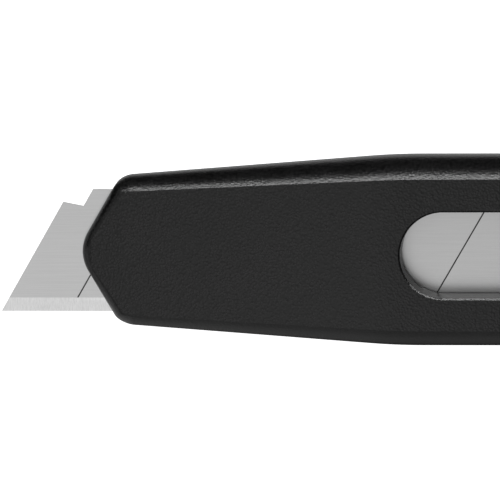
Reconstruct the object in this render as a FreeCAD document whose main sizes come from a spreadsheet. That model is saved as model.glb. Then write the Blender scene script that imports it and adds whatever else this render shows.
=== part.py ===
"""Snap-off cutter for 18 mm blades, with a screw-locked slider and a blade magazine.

Every body is drawn in the handle's own axes: X from the foremost point of the nose towards the tail,
Y across the handle, towards the blade's spine, and Z from the plane where the two shells meet towards
the slotted face.  The bodies' common Placement then puts the origin under the middle of the knife,
on the flat rear face that it lies on.
"""
import FreeCAD, Part
import math
import os

import Sketcher

DRIVING = {
    # blade
    "blade_wide": 18.0, "blade_long": 100.0, "blade_thick": 0.5, "bevel_wide": 2.04,
    "snap_angle": 60.0, "snap_first": 10.1, "snap_pitch": 10.42, "snap_deep": 0.12,
    "tip_out": 12.17, "peg_hole": 4.0,
    # outer form of the handle
    "handle_long": 165.0, "body_high": 28.0, "body_thick": 13.0, "nose_thick": 8.0,
    "shoulder_at": 5.5, "shoulder_high": 21.74, "shoulder_round": 3.5,
    "apex_ahead": 0.88, "apex_round": 5.6, "taper_end": 45.8, "side_band": 3.05, "nose_side_band": 1.92,
    "nose_band": 1.05, "nose_wall": 1.9, "cap_long": 18.0,
    # slot in the face
    "slot_start": 46.0, "slot_wide": 13.14, "slot_draft": 0.62,
    # steel channel that the blade runs in
    "sheet": 0.5, "play": 0.12, "lip_wide": 3.0, "channel_front": 6.4,
    # slider and its travel
    "stem_front": 92.5, "stem_long": 29.0, "stem_wide": 11.0, "travel_back": 17.5, "saddle_wide": 16.4,
    "saddle_overhang": 4.5, "saddle_gap": 0.25, "wheel_wide": 15.6, "wheel_high": 3.7, "thread": 3.0,
    # magazine in the rear shell
    "magazine_front": 35.0, "magazine_deep": 4.3, "tray_thick": 0.76,
    # fasteners and loop hole
    "screw_thick": 2.0, "screw_head": 3.5, "screw_row": 11.25, "lanyard_hole": 4.4,
}
SHEET_NAME = "dims"
SNAP_LINES = 8
KNURLS = 24
TURN = 360.0
OVER = 2.0            # how far a cut runs past the solid that it cuts

doc = FreeCAD.newDocument("snap_off_cutter")
sheet = doc.addObject("Spreadsheet::Sheet", SHEET_NAME)
for row, (alias, number) in enumerate(DRIVING.items(), start=1):
    sheet.set(f"A{row}", alias)
    sheet.set(f"B{row}", str(number))
    sheet.setAlias(f"B{row}", alias)
doc.recompute()


class Size:
    """A length with its number and the expression on the spreadsheet that gives it."""

    def __init__(self, value, text):
        self.value = value
        self.text = text

    def __add__(self, other):
        other = as_size(other)
        return Size(self.value + other.value, f"({self.text} + {other.text})")

    def __sub__(self, other):
        other = as_size(other)
        return Size(self.value - other.value, f"({self.text} - {other.text})")

    def __mul__(self, other):
        other = as_size(other)
        return Size(self.value * other.value, f"({self.text} * {other.text})")

    def __truediv__(self, other):
        other = as_size(other)
        return Size(self.value / other.value, f"({self.text} / {other.text})")

    def __neg__(self):
        return Size(-self.value, f"(-1 * {self.text})")

    def __radd__(self, other):
        return as_size(other) + self

    def __rsub__(self, other):
        return as_size(other) - self

    def __rmul__(self, other):
        return as_size(other) * self

    def __rtruediv__(self, other):
        return as_size(other) / self


def as_size(number):
    return number if isinstance(number, Size) else Size(float(number), f"({float(number):.6g})")


def tangent(angle):
    return Size(math.tan(math.radians(angle.value)), f"tan({angle.text} * 1 deg)")


def angle_of(rise, run):
    ratio = rise / run
    return Size(math.degrees(math.atan(ratio.value)), f"(atan({ratio.text}) / 1 deg)")


class Dimensions:
    """The driving dimensions by name."""


dim = Dimensions()
for alias, number in DRIVING.items():
    setattr(dim, alias, Size(number, f"{SHEET_NAME}.{alias}"))

# ---------------------------------------------------------------- derived places, in the handle's axes
half_blade = dim.blade_wide / 2
half_high = dim.body_high / 2
half_thick = dim.body_thick / 2
shoulder_y = dim.shoulder_high / 2
channel_top = dim.sheet * 2 + dim.blade_thick + dim.play * 2          # top of the channel's lips
bay_top = channel_top + 0.06
blade_floor = dim.sheet + dim.play
blade_top = blade_floor + dim.blade_thick
lip_under = blade_top + dim.play
channel_half = half_blade + 0.15 + dim.sheet
bay_half = channel_half + 0.1
lip_inner = channel_half - dim.lip_wide
slot_inner_half = dim.slot_wide / 2 - dim.slot_draft
slot_inner_front = dim.slot_start + dim.slot_draft
stem_half = dim.stem_wide / 2
stem_back = dim.stem_front + dim.stem_long
stem_middle = dim.stem_front + dim.stem_long / 2
slot_inner_back = stem_back + dim.travel_back + 0.5
shell_end = dim.handle_long - dim.cap_long
tip_at = -dim.tip_out
blend = 2.6                                                             # half length of the taper's blend
rear_floor = -dim.magazine_deep
magazine_half = half_blade + 0.2
split_z = half_thick - 1.3                                              # carrier's top, saddle's foot
saddle_under = half_thick + dim.saddle_gap
well_floor = saddle_under + 0.85
washer_thick = 0.28
wheel_under = well_floor + washer_thick + 0.02
wheel_top = wheel_under + dim.wheel_high
SCREW_STATIONS = (44.0, 92.0, 140.0)
DOWEL_STATIONS = (68.0, 116.0)


def taper_slope(at_nose, at_full):
    return (at_full - at_nose) / dim.taper_end


def outline_half(x):
    """Half height of the handle's silhouette ahead of the point where it becomes parallel."""
    slope = (half_high - shoulder_y) / (dim.taper_end - dim.shoulder_at)
    return shoulder_y + (x - dim.shoulder_at) * slope


def face_level(x):
    """Height of the sloping face above the parting plane, ahead of the parallel stretch."""
    return dim.nose_thick / 2 + x * taper_slope(dim.nose_thick / 2, half_thick)


def band_wide(x):
    """Width of the rounded side band, seen from the face, ahead of the parallel stretch."""
    return dim.nose_side_band + x * taper_slope(dim.nose_side_band, dim.side_band)


# ---------------------------------------------------------------- helpers
def body(label):
    made = doc.addObject("PartDesign::Body", label)
    made.Label = label
    made.setExpression("Placement.Base.x", ((dim.tip_out - dim.handle_long) / 2).text)
    made.setExpression("Placement.Base.z", half_thick.text)
    return made


def sketch_on(owner, name, plane, offset=0.0):
    made = owner.newObject("Sketcher::SketchObject", name)
    origin_plane = [part for part in owner.Origin.OriginFeatures if part.Role == plane][0]
    made.AttachmentSupport = (origin_plane, [""])
    made.MapMode = "FlatFace"
    made.setExpression("AttachmentOffset.Base.z", as_size(offset).text)
    return made


def fix_point(sketch, geometry, end, x, y):
    for kind, size in (("DistanceX", x), ("DistanceY", y)):
        index = sketch.addConstraint(Sketcher.Constraint(kind, -1, 1, geometry, end, size.value))
        sketch.setExpression(f"Constraints[{index}]", size.text)


def fix_radius(sketch, geometry, radius):
    index = sketch.addConstraint(Sketcher.Constraint("Radius", geometry, radius.value))
    sketch.setExpression(f"Constraints[{index}]", radius.text)


def arc_between(start, finish, radius, bulge):
    """Counter-clockwise arc through both points; bulge +1 puts it to the right of start to finish."""
    chord = finish - start
    side = FreeCAD.Vector(chord.y, -chord.x, 0).normalize()
    rise = math.sqrt(radius ** 2 - (chord.Length / 2) ** 2)
    centre = (start + finish) / 2 - side * rise * bulge
    first, second = (start, finish) if bulge > 0 else (finish, start)
    circle = Part.Circle(centre, FreeCAD.Vector(0, 0, 1), radius)
    return Part.ArcOfCircle(circle, circle.parameter(first), circle.parameter(second))


def closed_outline(sketch, corners, arcs=None):
    """Closed outline through corners (x, y) or (x, y, rounding), fully constrained from the sheet.

    arcs gives the edges that are arcs: {number of the corner it leaves: (radius, bulge)}.
    """
    arcs = arcs or {}
    corners = [tuple(as_size(number) for number in corner) for corner in corners]
    count = len(corners)
    points = [FreeCAD.Vector(corner[0].value, corner[1].value, 0) for corner in corners]
    ends = []
    for i, corner in enumerate(corners):
        if len(corner) == 2:
            ends.append((points[i], points[i]))
            continue
        back = (points[i - 1] - points[i]).normalize()
        ahead = (points[(i + 1) % count] - points[i]).normalize()
        reach = corner[2].value / math.tan(back.getAngle(ahead) / 2)
        ends.append((points[i] + back * reach, points[i] + ahead * reach))
    edges = []
    for i in range(count):
        start, finish = ends[i][1], ends[(i + 1) % count][0]
        if i in arcs:
            radius, bulge = as_size(arcs[i][0]), arcs[i][1]
            index = sketch.addGeometry(arc_between(start, finish, radius.value, bulge), False)
            fix_radius(sketch, index, radius)
            edges.append((index, 1, 2) if bulge > 0 else (index, 2, 1))
        else:
            edges.append((sketch.addGeometry(Part.LineSegment(start, finish), False), 1, 2))
    for i, corner in enumerate(corners):
        before, after = edges[i - 1], edges[i]
        if len(corner) == 2:
            sketch.addConstraint(
                Sketcher.Constraint("Coincident", before[0], before[2], after[0], after[1]))
            fix_point(sketch, after[0], after[1], corner[0], corner[1])
            continue
        turn = (points[i] - points[i - 1]).cross(points[(i + 1) % count] - points[i]).z
        bulge = 1 if turn > 0 else -1
        arc = sketch.addGeometry(arc_between(ends[i][0], ends[i][1], corner[2].value, bulge), False)
        arc_start, arc_end = (1, 2) if bulge > 0 else (2, 1)
        sketch.addConstraint(Sketcher.Constraint("Tangent", before[0], before[2], arc, arc_start))
        sketch.addConstraint(Sketcher.Constraint("Tangent", arc, arc_end, after[0], after[1]))
        fix_radius(sketch, arc, corner[2])
        point = sketch.addGeometry(Part.Point(points[i]), True)
        fix_point(sketch, point, 1, corner[0], corner[1])
        sketch.addConstraint(Sketcher.Constraint("PointOnObject", point, 1, before[0]))
        sketch.addConstraint(Sketcher.Constraint("PointOnObject", point, 1, after[0]))
    return sketch


def rectangle(sketch, x_low, x_high, y_low, y_high):
    return closed_outline(sketch, [(x_low, y_low), (x_high, y_low), (x_high, y_high), (x_low, y_high)])


def circles(sketch, *rounds):
    for x, y, radius in rounds:
        x, y, radius = as_size(x), as_size(y), as_size(radius)
        circle = Part.Circle(FreeCAD.Vector(x.value, y.value, 0), FreeCAD.Vector(0, 0, 1), radius.value)
        index = sketch.addGeometry(circle, False)
        fix_point(sketch, index, 3, x, y)
        fix_radius(sketch, index, radius)
    return sketch


def stadium(sketch, x_low, x_high, half_wide):
    """Slot outline with half-round ends, along X."""
    left, right = x_low + half_wide, x_high - half_wide
    # a hair over the half width keeps each half-round end a proper minor arc
    near_half = half_wide * 1.00001
    return closed_outline(
        sketch,
        [(left, -half_wide), (right, -half_wide), (right, half_wide), (left, half_wide)],
        {1: (near_half, 1), 3: (near_half, 1)},
    )


def extrude(owner, kind, name, sketch, length, upwards=True, draft=None):
    """Pad or Pocket from the sketch's plane; upwards means along the plane's own normal."""
    made = owner.newObject(f"PartDesign::{kind}", name)
    made.Profile = sketch
    made.setExpression("Length", as_size(length).text)
    made.Reversed = (not upwards) if kind == "Pad" else upwards
    if draft is not None:
        made.setExpression("TaperAngle", draft.text)
    sketch.Visibility = False
    return made


def pad(owner, name, sketch, length, upwards=True, draft=None):
    return extrude(owner, "Pad", name, sketch, length, upwards, draft)


def pocket(owner, name, sketch, length, upwards=True, draft=None):
    return extrude(owner, "Pocket", name, sketch, length, upwards, draft)


def plate(owner, name, x_low, x_high, y_low, y_high, z_low, z_high):
    """Rectangular pad between two levels."""
    plan = rectangle(sketch_on(owner, f"{name}_plan", "XY_Plane", z_low), x_low, x_high, y_low, y_high)
    return pad(owner, name, plan, as_size(z_high) - z_low)


def recess(owner, name, x_low, x_high, y_low, y_high, z_low, z_high):
    """Rectangular pocket between two levels."""
    plan = rectangle(sketch_on(owner, f"{name}_plan", "XY_Plane", z_low), x_low, x_high, y_low, y_high)
    return pocket(owner, name, plan, as_size(z_high) - z_low)


def drill(owner, name, places, radius, z_low, z_high):
    plan = sketch_on(owner, f"{name}_plan", "XY_Plane", z_low)
    circles(plan, *[(x, y, radius) for x, y in places])
    return pocket(owner, name, plan, as_size(z_high) - z_low)


# ---------------------------------------------------------------- the handle's outer form
def side_radius(band, level):
    """Radius of the side's arc, whose middle height is the parting plane."""
    return (band * band + level * level) / (band * 2)


def half_section(owner, name, x, half, level, band, up):
    """Half of the handle's cross-section, above (up = 1) or below (up = -1) the parting plane."""
    crease = half - band
    radius = side_radius(band, level)
    section = sketch_on(owner, name, "YZ_Plane", x)
    corners = [(-half, 0.0), (-crease, level * up), (crease, level * up), (half, 0.0)]
    return closed_outline(section, corners, {0: (radius, -up), 2: (radius, -up)})


def shell_form(owner, up):
    """Wedge-shaped nose that swells into the parallel grip, by a loft of four sections."""
    nose_start = as_size(-OVER)
    blend_start, blend_end = dim.taper_end - blend, dim.taper_end + blend
    sections = [
        half_section(owner, "nose_section", nose_start, outline_half(nose_start), face_level(nose_start),
                     band_wide(nose_start), up),
        half_section(owner, "taper_section", blend_start, outline_half(blend_start),
                     face_level(blend_start), band_wide(blend_start), up),
        half_section(owner, "grip_section", blend_end, half_high, half_thick, dim.side_band, up),
        half_section(owner, "tail_section", shell_end, half_high, half_thick, dim.side_band, up),
    ]
    loft = owner.newObject("PartDesign::AdditiveLoft", "form")
    loft.Profile = sections[0]
    loft.Sections = sections[1:]
    loft.Ruled = True
    return loft


def nose_waste(sketch):
    """Everything ahead of the pointed nose: its apex and shoulders are rounded."""
    ahead, aside, behind = as_size(-6.0), as_size(20.0), dim.shoulder_at + 4.0
    hair = 0.02
    return closed_outline(sketch, [
        (ahead, -aside), (behind, -aside), (behind, -outline_half(behind) - hair),
        (dim.shoulder_at, -shoulder_y - hair, dim.shoulder_round), (-dim.apex_ahead, 0.0, dim.apex_round),
        (dim.shoulder_at, shoulder_y + hair, dim.shoulder_round), (behind, outline_half(behind) + hair),
        (behind, aside), (ahead, aside),
    ])


def cut_nose(owner, up):
    upwards = up > 0
    start = as_size(-OVER * up)
    walls = nose_waste(sketch_on(owner, "nose_walls_plan", "XY_Plane", start))
    pocket(owner, "nose_walls", walls, OVER + 8.0, upwards)
    band = nose_waste(sketch_on(owner, "nose_band_plan", "XY_Plane", dim.nose_wall * up))
    draft = angle_of(dim.nose_band, dim.nose_thick / 2 - dim.nose_wall)
    pocket(owner, "nose_band", band, 4.0, upwards, draft)


def screw_places():
    return [(x, dim.screw_row * side) for x in SCREW_STATIONS for side in (-1, 1)]


def dowel_places():
    return [(x, (dim.screw_row + 0.15) * side) for x in DOWEL_STATIONS for side in (-1, 1)]


def make_front_shell():
    """Slotted half of the handle, over the steel channel."""
    shell = body("front_shell")
    shell_form(shell, 1)
    cut_nose(shell, 1)
    recess(shell, "blade_mouth", -OVER * 2, dim.channel_front + 0.1, -half_blade - 0.15, half_blade + 0.15,
           0.0, lip_under)
    recess(shell, "channel_bay", dim.channel_front - 0.1, shell_end + OVER, -bay_half, bay_half,
           0.0, bay_top)
    recess(shell, "tongue_tunnel", 14.0, slot_inner_front + slot_inner_half, -stem_half + 0.1,
           stem_half - 0.1, bay_top - 0.01, blade_top + 1.8)
    for side, name in ((-1, "edge_side"), (1, "spine_side")):
        near, far = slot_inner_half + 1.7, bay_half - 0.1
        low, high = (near, far) if side > 0 else (-far, -near)
        recess(shell, f"coring_{name}", slot_inner_front + 6.0, slot_inner_back - 6.0, low, high,
               bay_top - 0.01, half_thick - 1.9)
    slot = stadium(sketch_on(shell, "slot_plan", "XY_Plane", bay_top - 0.01), slot_inner_front,
                   slot_inner_back, slot_inner_half)
    pocket(shell, "slot", slot, half_thick - bay_top + 0.01, True,
           angle_of(dim.slot_draft, half_thick - bay_top))
    drill(shell, "screw_bores", screw_places(), dim.screw_thick / 2 + 0.02, -0.01, 4.1)
    drill(shell, "dowel_bores", dowel_places(), 0.9, -0.01, 1.6)
    return shell


def make_rear_shell():
    """Closed half of the handle, with the blade magazine and the screws' seats."""
    shell = body("rear_shell")
    shell_form(shell, -1)
    plate(shell, "nose_tongue", 0.0, dim.channel_front - 0.2, -half_blade, half_blade, -0.01, dim.sheet)
    cut_nose(shell, -1)
    tray_half = bay_half
    recess(shell, "tray_seat", dim.magazine_front, shell_end + OVER, -tray_half, tray_half,
           -dim.tray_thick - 0.04, 0.01)
    recess(shell, "magazine", dim.magazine_front + 0.5, shell_end + OVER, -magazine_half, magazine_half,
           rear_floor, -dim.tray_thick)
    recess(shell, "nose_coring", 10.0, dim.magazine_front - 2.5, -8.0, 8.0, -2.2, 0.01)
    drill(shell, "screw_bores", screw_places(), dim.screw_thick / 2 + 0.1, -half_thick - 1.0, 0.01)
    drill(shell, "screw_seats", screw_places(), dim.screw_head / 2 + 0.15, -half_thick - 1.0, -3.2)
    dowels = sketch_on(shell, "dowels_plan", "XY_Plane", -0.01)
    circles(dowels, *[(x, y, 0.8) for x, y in dowel_places()])
    pad(shell, "dowels", dowels, 1.41)
    return shell


def make_shell_screws():
    """Pan-head screws that hold the shells together, driven from the rear."""
    screws = []
    for number, (x, y) in enumerate(screw_places(), start=1):
        screw = body(f"shell_screw_{number}")
        head = circles(sketch_on(screw, "head_plan", "XY_Plane", -4.7), (x, y, dim.screw_head / 2))
        pad(screw, "head", head, 1.5)
        shank = circles(sketch_on(screw, "shank_plan", "XY_Plane", -3.25), (x, y, dim.screw_thick / 2))
        pad(screw, "shank", shank, 7.15)
        recess(screw, "drive_long", as_size(x) - 1.1, as_size(x) + 1.1, y - 0.22, y + 0.22, -4.8, -4.0)
        recess(screw, "drive_cross", as_size(x) - 0.22, as_size(x) + 0.22, y - 1.1, y + 1.1, -4.8, -4.0)
        screws.append(screw)
    return group("shell_screws", screws)


def group(label, bodies):
    """Several separate like pieces that share one node."""
    made = doc.addObject("Part::Compound", label)
    made.Label = label
    made.Links = bodies
    return made


# ---------------------------------------------------------------- steel channel and magazine
def make_blade_channel():
    """Folded steel sheet: a floor, two walls and two lips over the blade's long edges."""
    channel = body("blade_channel")
    section = sketch_on(channel, "section", "YZ_Plane", dim.channel_front)
    outer, inner = channel_half, channel_half - dim.sheet
    closed_outline(section, [
        (-outer, 0.0), (outer, 0.0), (outer, channel_top), (lip_inner, channel_top), (lip_inner, lip_under),
        (inner, lip_under), (inner, dim.sheet), (-inner, dim.sheet), (-inner, lip_under),
        (-lip_inner, lip_under), (-lip_inner, channel_top), (-outer, channel_top),
    ])
    pad(channel, "fold", section, shell_end - dim.channel_front - 0.5)
    return channel


def make_magazine_tray():
    """Divider between the channel and the spare blades."""
    tray = body("magazine_tray")
    plate(tray, "sheet_part", dim.magazine_front + 0.1, shell_end - 8.5, -bay_half + 0.05, bay_half - 0.05,
          -dim.tray_thick - 0.02, -0.02)
    for x in (50.0, 125.0):
        drill(tray, f"window_{int(x)}", [(x, 0.0)], 3.0, -dim.tray_thick - 1.0, 1.0)
    return tray


def make_magazine_spring():
    """Bowed steel strip that keeps the spare blades from rattling."""
    spring = body("magazine_spring")
    half_span, crown, foot, strip = as_size(26.0), -dim.tray_thick - 0.1, rear_floor + 1.2, 0.3
    middle = dim.magazine_front + dim.blade_long / 2
    rise = crown - foot - strip
    radius = (half_span * half_span + rise * rise) / (rise * 2)
    side = sketch_on(spring, "side_view", "XZ_Plane", -4.0)
    closed_outline(side, [
        (middle - half_span, foot), (middle + half_span, foot), (middle + half_span, foot + strip),
        (middle - half_span, foot + strip),
    ], {0: (radius, -1), 2: (radius, 1)})
    pad(spring, "strip", side, 8.0)
    return spring


# ---------------------------------------------------------------- blades
def make_blade(label, tip_x, low):
    """18 mm snap-off blade: pointed segments divided by score lines, edge towards -Y."""
    blade = body(label)
    half, thin = dim.blade_thick / 2, 0.02
    middle = low + half
    section = sketch_on(blade, "section", "YZ_Plane", tip_x)
    closed_outline(section, [
        (-half_blade, middle - thin), (-half_blade + dim.bevel_wide, middle - half),
        (half_blade, middle - half), (half_blade, middle + half),
        (-half_blade + dim.bevel_wide, middle + half), (-half_blade, middle + thin),
    ])
    pad(blade, "strip", section, dim.blade_long)
    lean = tangent(dim.snap_angle)
    point_high = half_blade - 1.87
    lean_run = (point_high + half_blade) / lean
    front = sketch_on(blade, "front_waste", "XY_Plane", as_size(low) - 1.0)
    closed_outline(front, [
        (tip_x - 3.0, -half_blade - 3.0), (tip_x - 3.0 / lean, -half_blade - 3.0),
        (tip_x + lean_run, point_high), (tip_x + lean_run + 2.96, point_high - 0.6),
        (tip_x + lean_run + 2.96 + 5.47 / lean, point_high + 4.87), (tip_x - 3.0, point_high + 4.87),
    ])
    pocket(blade, "front_end", front, 3.0)
    tail_run = dim.blade_wide / lean
    tail_x = tip_x + dim.blade_long
    rear = sketch_on(blade, "rear_waste", "XY_Plane", as_size(low) - 1.0)
    closed_outline(rear, [
        (tail_x - tail_run - 1.0 / lean, -half_blade - 1.0), (tail_x + 3.0, -half_blade - 1.0),
        (tail_x + 3.0, half_blade + 1.0), (tail_x + 1.0 / lean, half_blade + 1.0),
    ])
    pocket(blade, "rear_end", rear, 3.0)
    drill(blade, "peg_hole", [(peg_place(tip_x), 0.0)], dim.peg_hole / 2, as_size(low) - 1.0, low + 3.0)
    groove = sketch_on(blade, "score_plan", "XY_Plane", low + dim.blade_thick - dim.snap_deep)
    bevel_y = -half_blade + dim.bevel_wide
    foot_x = tip_x + dim.snap_first + dim.bevel_wide / lean
    head_x = tip_x + dim.snap_first + tail_run
    closed_outline(groove, [
        (foot_x - 0.07, bevel_y), (foot_x + 0.07, bevel_y), (head_x + 0.07 + 1.0 / lean, half_blade + 1.0),
        (head_x - 0.07 + 1.0 / lean, half_blade + 1.0),
    ])
    score = pocket(blade, "score", groove, 1.0)
    scores = blade.newObject("PartDesign::LinearPattern", "scores")
    scores.Originals = [score]
    scores.Direction = (groove, ["H_Axis"])
    scores.setExpression("Length", (dim.snap_pitch * (SNAP_LINES - 1)).text)
    scores.Occurrences = SNAP_LINES
    blade.Tip = scores
    return blade


def peg_place(tip_x):
    """Middle of the tail segment, on the blade's centre line."""
    lean = tangent(dim.snap_angle)
    last_score = tip_x + dim.snap_first + dim.snap_pitch * (SNAP_LINES - 1) + half_blade / lean
    tail = tip_x + dim.blade_long - half_blade / lean
    return (last_score + tail) / 2


# ---------------------------------------------------------------- slider
def make_blade_carrier():
    """Block that runs in the slot, its flange under the channel's lips and a tongue over the blade."""
    carrier = body("blade_carrier")
    plan = stadium(sketch_on(carrier, "block_plan", "XY_Plane", blade_floor), dim.stem_front, stem_back,
                   stem_half)
    pad(carrier, "block", plan, split_z - blade_floor)
    flange_front = tip_at + dim.blade_long + 0.4
    plate(carrier, "flange", flange_front, stem_back + 2.5, -half_blade + 0.05, half_blade - 0.05,
          blade_floor, blade_top)
    tongue_front = peg_place(tip_at) - 6.0
    tongue = sketch_on(carrier, "tongue_plan", "XY_Plane", blade_top + 0.1)
    closed_outline(tongue, [
        (tongue_front, -stem_half + 0.5, 2.5), (stem_middle, -stem_half + 0.5),
        (stem_middle, stem_half - 0.5), (tongue_front, stem_half - 0.5, 2.5),
    ])
    pad(carrier, "tongue", tongue, 1.5)
    recess(carrier, "clamp_seat", stem_middle - 6.0, stem_middle + 6.0, -half_blade - 1.0, half_blade + 1.0,
           blade_floor - 0.1, lip_under + 0.15)
    drill(carrier, "stud_bore", [(stem_middle, 0.0)], dim.thread / 2 + 0.1, 0.0, half_thick)
    drill(carrier, "peg_bore", [(peg_place(tip_at), 0.0)], 1.22, blade_top, 4.0)
    drill(carrier, "screw_bores", slide_screw_places(), 0.92, split_z - 3.2, half_thick)
    return carrier


def slide_screw_places():
    return [(stem_middle + side * 11.2, 0.0) for side in (-1, 1)]


def make_blade_peg():
    """Shouldered steel peg that fills the hole in the blade's tail segment."""
    peg = body("blade_peg")
    at = peg_place(tip_at)
    stud = circles(sketch_on(peg, "peg_plan", "XY_Plane", dim.sheet + 0.05),
                   (at, 0.0, dim.peg_hole / 2 - 0.15))
    pad(peg, "peg", stud, blade_top + 0.08 - dim.sheet - 0.05)
    rivet = circles(sketch_on(peg, "rivet_plan", "XY_Plane", blade_top), (at, 0.0, 1.2))
    pad(peg, "rivet", rivet, 1.6)
    head = circles(sketch_on(peg, "head_plan", "XY_Plane", blade_top + 1.6), (at, 0.0, 1.9))
    pad(peg, "head", head, 0.15)
    return peg


def make_thumb_slide():
    """Saddle that the thumb pushes: a hump ahead of the wheel and one behind it."""
    slide = body("thumb_slide")
    half_saddle = dim.saddle_wide / 2
    front, back = dim.stem_front - dim.saddle_overhang, stem_back + dim.saddle_overhang
    crest = saddle_under + 2.8
    side = sketch_on(slide, "side_view", "XZ_Plane", -half_saddle)
    closed_outline(side, [
        (front, saddle_under), (back, saddle_under), (back, saddle_under + 0.7), (back - 5.5, crest, 1.5),
        (front + 5.5, crest, 1.5), (front, saddle_under + 0.7),
    ])
    pad(slide, "saddle", side, dim.saddle_wide)
    foot = stadium(sketch_on(slide, "foot_plan", "XY_Plane", split_z), dim.stem_front, stem_back, stem_half)
    pad(slide, "foot", foot, saddle_under - split_z + 0.2)
    drill(slide, "wheel_well", [(stem_middle, 0.0)], half_saddle + 0.25, well_floor, half_thick + 9.0)
    drill(slide, "stud_bore", [(stem_middle, 0.0)], dim.thread / 2 + 0.1, 0.0, half_thick + 4.0)
    drill(slide, "screw_bores", slide_screw_places(), 1.0, 0.0, half_thick + 5.0)
    drill(slide, "screw_seats", slide_screw_places(), 1.75, crest - 1.6, half_thick + 5.0)
    return slide


def make_grip_pad(label, facing):
    """Soft ribbed pad on one hump; facing is -1 ahead of the wheel and 1 behind it."""
    grip = body(label)
    crest = saddle_under + 2.8
    outer = stem_middle + (dim.stem_long / 2 + dim.saddle_overhang - 0.4) * facing
    knee = stem_middle + (dim.stem_long / 2 + dim.saddle_overhang - 5.5) * facing
    inner = stem_middle + (dim.saddle_wide / 2 + 0.8) * facing
    low = saddle_under + 0.7 + 0.4 * 2.1 / 5.5
    ribs, rib_high, skin = 4, 0.45, 0.35
    corners = [(inner, crest + 0.02), (knee, crest + 0.02), (outer, low + 0.02)]
    run, fall = outer - knee, low - crest
    for rib in range(ribs):
        for along, up in ((0.0, skin), (0.25, skin + rib_high), (0.55, skin + rib_high), (0.8, skin)):
            share = 1.0 - (rib + along) / ribs
            corners.append((knee + run * share, crest + fall * share + up))
    corners.append((inner, crest + skin))
    if facing < 0:
        corners.reverse()
    side = sketch_on(grip, "side_view", "XZ_Plane", -6.6)
    closed_outline(side, corners)
    pad(grip, "ribs", side, 13.2)
    return grip


def make_slide_screws():
    """Flat-head screws under the grip pads that hold the saddle to the carrier."""
    screws = []
    crest = saddle_under + 2.8
    for number, (x, y) in enumerate(slide_screw_places(), start=1):
        screw = body(f"slide_screw_{number}")
        shank = circles(sketch_on(screw, "shank_plan", "XY_Plane", split_z - 3.1), (x, y, 0.9))
        pad(screw, "shank", shank, crest - 1.6 - split_z + 3.2)
        head = circles(sketch_on(screw, "head_plan", "XY_Plane", crest - 1.6), (x, y, 1.65))
        pad(screw, "head", head, 1.4)
        recess(screw, "drive", x - 1.2, x + 1.2, -0.2, 0.2, crest - 0.7, crest)
        screws.append(screw)
    return group("slide_screws", screws)


def make_lock_wheel():
    """Scalloped wheel that clamps the slider when it is tightened."""
    wheel = body("lock_wheel")
    radius = dim.wheel_wide / 2
    disc = circles(sketch_on(wheel, "disc_plan", "XY_Plane", wheel_under), (stem_middle, 0.0, radius))
    pad(wheel, "disc", disc, dim.wheel_high)
    drill(wheel, "stud_bore", [(stem_middle, 0.0)], dim.thread / 2 + 0.1,
          wheel_under - 1.0, wheel_top + 1.0)
    nut = hexagon(sketch_on(wheel, "nut_seat_plan", "XY_Plane", wheel_under + 0.5), 2.78)
    pocket(wheel, "nut_seat", nut, dim.wheel_high)
    drill(wheel, "cap_seat", [(stem_middle, 0.0)], 4.55, wheel_top - 0.7, wheel_top + 1.0)
    plan = sketch_on(wheel, "scallop_plan", "XY_Plane", wheel_under - 1.0)
    circles(plan, (stem_middle + radius + 0.35, 0.0, 0.85))
    scallop = pocket(wheel, "scallop", plan, dim.wheel_high + 2.0)
    axis = wheel.newObject("PartDesign::Line", "turning_axis")
    axis.setExpression("Placement.Base.x", stem_middle.text)
    scallops = wheel.newObject("PartDesign::PolarPattern", "scallops")
    scallops.Originals = [scallop]
    scallops.Axis = (axis, [""])
    scallops.Angle = TURN
    scallops.Occurrences = KNURLS
    wheel.Tip = scallops
    return wheel


def hexagon(sketch, apothem):
    corner = as_size(apothem / math.cos(math.radians(30.0)))
    places = [(stem_middle + corner * math.cos(math.radians(60.0 * i)),
               corner * math.sin(math.radians(60.0 * i))) for i in range(6)]
    return closed_outline(sketch, places)


def make_wheel_nut():
    """Hexagonal brass nut pressed into the wheel."""
    nut = body("wheel_nut")
    pad(nut, "hexagon", hexagon(sketch_on(nut, "hexagon_plan", "XY_Plane", wheel_under + 0.52), 2.75), 2.4)
    drill(nut, "thread", [(stem_middle, 0.0)], dim.thread / 2 + 0.05, wheel_under, wheel_top)
    return nut


def make_wheel_cap():
    """Cover disc in the wheel's top."""
    cap = body("wheel_cap")
    disc = circles(sketch_on(cap, "disc_plan", "XY_Plane", wheel_top - 0.68), (stem_middle, 0.0, 4.5))
    pad(cap, "disc", disc, 0.78)
    return cap


def make_spring_washer():
    washer = body("spring_washer")
    ring = circles(sketch_on(washer, "ring_plan", "XY_Plane", well_floor), (stem_middle, 0.0, 3.6),
                   (stem_middle, 0.0, dim.thread / 2 + 0.25))
    pad(washer, "ring", ring, washer_thick)
    return washer


def make_clamp_plate():
    """Steel bar under the channel's lips; the stud pulls it up against them."""
    bar = body("clamp_plate")
    plate(bar, "bar", stem_middle - 5.7, stem_middle + 5.7, -half_blade + 0.2, half_blade - 0.2,
          lip_under - 0.5, lip_under - 0.03)
    drill(bar, "stud_bore", [(stem_middle, 0.0)], dim.thread / 2 + 0.02, 0.0, 3.0)
    return bar


def make_lock_stud():
    stud = body("lock_stud")
    shank = circles(sketch_on(stud, "shank_plan", "XY_Plane", lip_under - 0.5),
                    (stem_middle, 0.0, dim.thread / 2))
    pad(stud, "shank", shank, wheel_under + 2.7 - lip_under + 0.5)
    collar = circles(sketch_on(stud, "collar_plan", "XY_Plane", lip_under - 0.03), (stem_middle, 0.0, 1.55))
    pad(stud, "collar", collar, 0.15)
    return stud


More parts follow.
